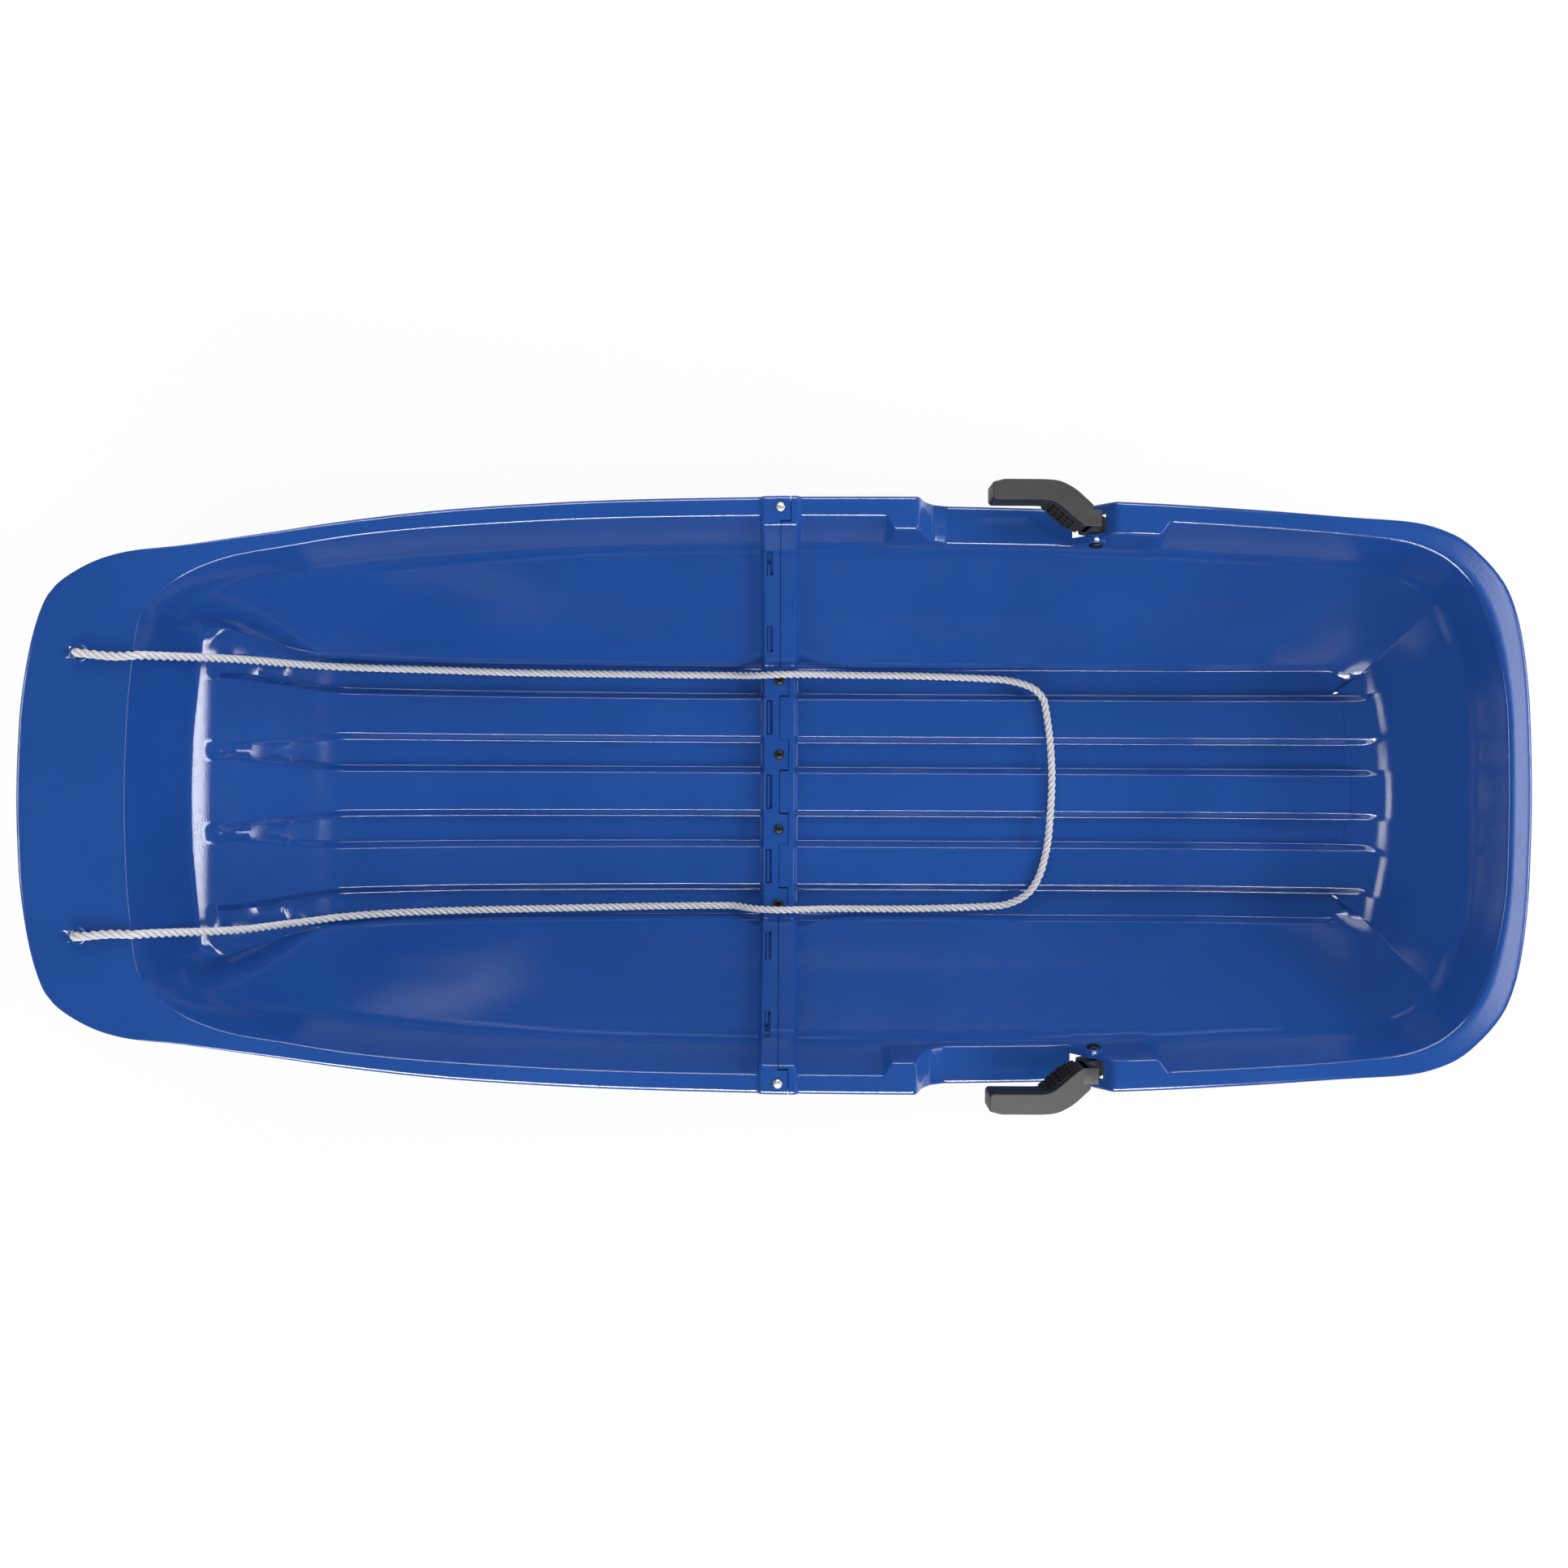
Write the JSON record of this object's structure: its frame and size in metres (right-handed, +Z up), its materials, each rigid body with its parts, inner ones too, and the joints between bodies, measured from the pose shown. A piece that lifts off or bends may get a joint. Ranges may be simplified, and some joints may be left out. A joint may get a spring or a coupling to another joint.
{
  "type": "toboggan sled",
  "caption": "Long moulded two-part toboggan tub with grooved floor, pull rope through the nose deck and a hand brake lever on each side.",
  "frame": {"origin": "on the ground under the middle of the sled's length and width", "axes": "-X to the nose, +X to the tail, +Y to the right of a rider who faces the nose, +Z up"},
  "size_m": [1.2438, 0.544, 0.2407],
  "materials": {
    "tub": "glossy moulded blue polyethylene",
    "lever": "matt charcoal plastic",
    "black_steel": "blackened steel",
    "bright_steel": "bright zinc plated steel",
    "rope": "white three-strand laid rope"
  },
  "bodies": {
    "sled": {"floor_nut_1": "bright_steel", "floor_nut_2": "bright_steel", "floor_nut_3": "bright_steel", "floor_nut_4": "bright_steel", "floor_screw_1": "black_steel", "floor_screw_2": "black_steel", "floor_screw_3": "black_steel", "floor_screw_4": "black_steel", "front_shell": "tub", "pivot_bolt_left": "black_steel", "pivot_bolt_right": "black_steel", "pivot_nut_left": "bright_steel", "pivot_nut_right": "bright_steel", "pivot_washer_left": "bright_steel", "pivot_washer_right": "bright_steel", "pull_rope": "rope", "rear_shell": "tub", "rim_nut_left": "bright_steel", "rim_nut_right": "bright_steel", "rim_screw_left": "bright_steel", "rim_screw_right": "bright_steel", "rope_knot_left": "rope", "rope_knot_right": "rope"},
    "brake_right": {"brake_lever_right": "lever"},
    "brake_left": {"brake_lever_left": "lever"}
  },
  "joints": [
    {"name": "brake_right_pivot", "type": "hinge", "parent": "sled", "child": "brake_right", "pos_m": [0.2545, 0.238, 0.116], "axis": [0, 1, 0], "range_deg": [0, 40]},
    {"name": "brake_left_pivot", "type": "hinge", "parent": "sled", "child": "brake_left", "pos_m": [0.2545, -0.238, 0.116], "axis": [0, 1, 0], "range_deg": [0, 40]}
  ]
}
